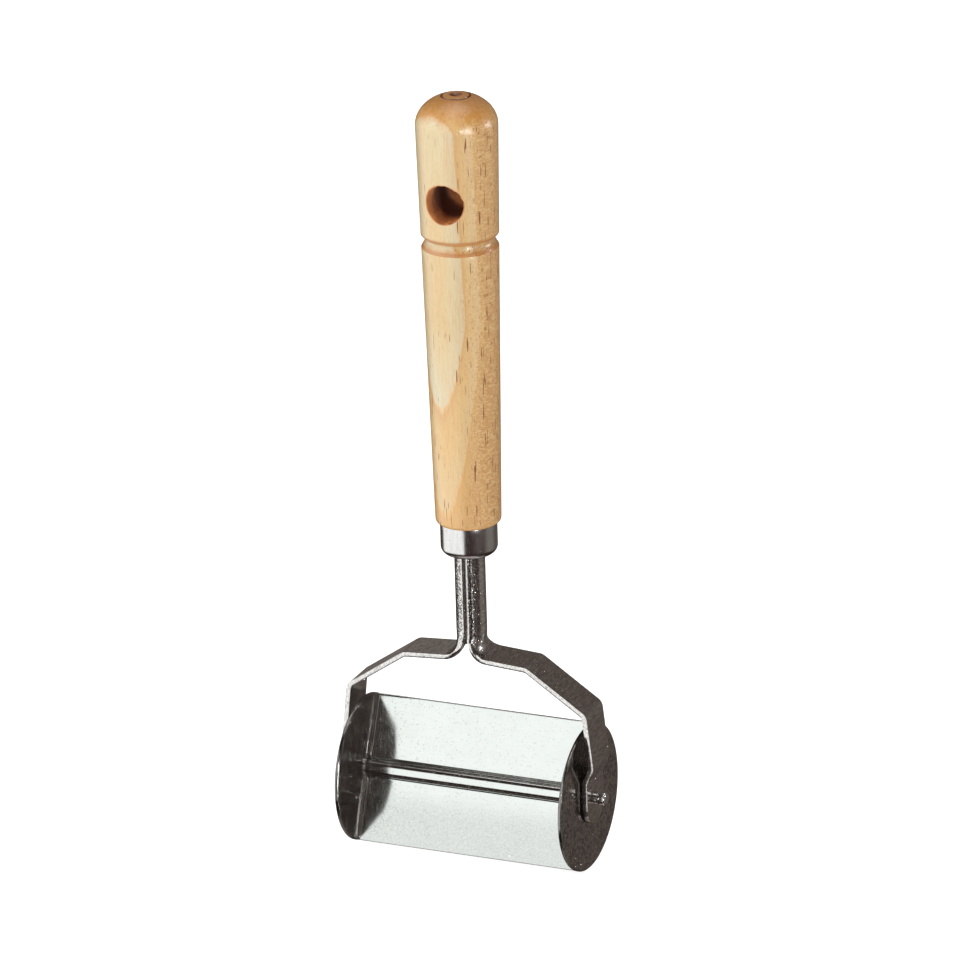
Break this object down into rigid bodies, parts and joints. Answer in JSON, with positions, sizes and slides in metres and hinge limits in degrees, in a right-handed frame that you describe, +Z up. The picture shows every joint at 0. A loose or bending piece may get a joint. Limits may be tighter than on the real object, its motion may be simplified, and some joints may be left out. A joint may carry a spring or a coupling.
{
  "type": "pasta dough roller cutter",
  "caption": "Hand-held roller cutter for pasta dough: turned wooden handle with a hanging hole, bent steel strip fork and a free-turning roller of cutting discs joined by a winged blade.",
  "frame": {"origin": "on the worktop under the middle of the roller, with the tool upright on its two disc rims", "axes": "+X along the axle to the right-hand arm, +Y to the back, +Z up along the handle"},
  "size_m": [0.0864, 0.046, 0.2449],
  "materials": {
    "beech_wood": "turned, sanded and clear lacquered, semi-gloss",
    "ferrule_steel": "drawn and polished",
    "fork_steel": "polished strip with sheared edges",
    "roller_steel": "polished sheet with a fine satin grain",
    "axle_steel": "drawn wire and tube, bright"
  },
  "bodies": {
    "holder": {"handle": "beech_wood", "ferrule": "ferrule_steel", "fork_arm_left": "fork_steel", "fork_arm_right": "fork_steel", "tang_pin": "axle_steel", "axle": "axle_steel"},
    "roller": {"core_tube": "axle_steel", "disc_left": "roller_steel", "disc_right": "roller_steel", "blade_front": "roller_steel", "blade_back": "roller_steel"}
  },
  "joints": [
    {"name": "roller_spin", "type": "hinge", "parent": "holder", "child": "roller", "pos_m": [0, 0, 0.023], "axis": [1, 0, 0], "continuous": true}
  ]
}
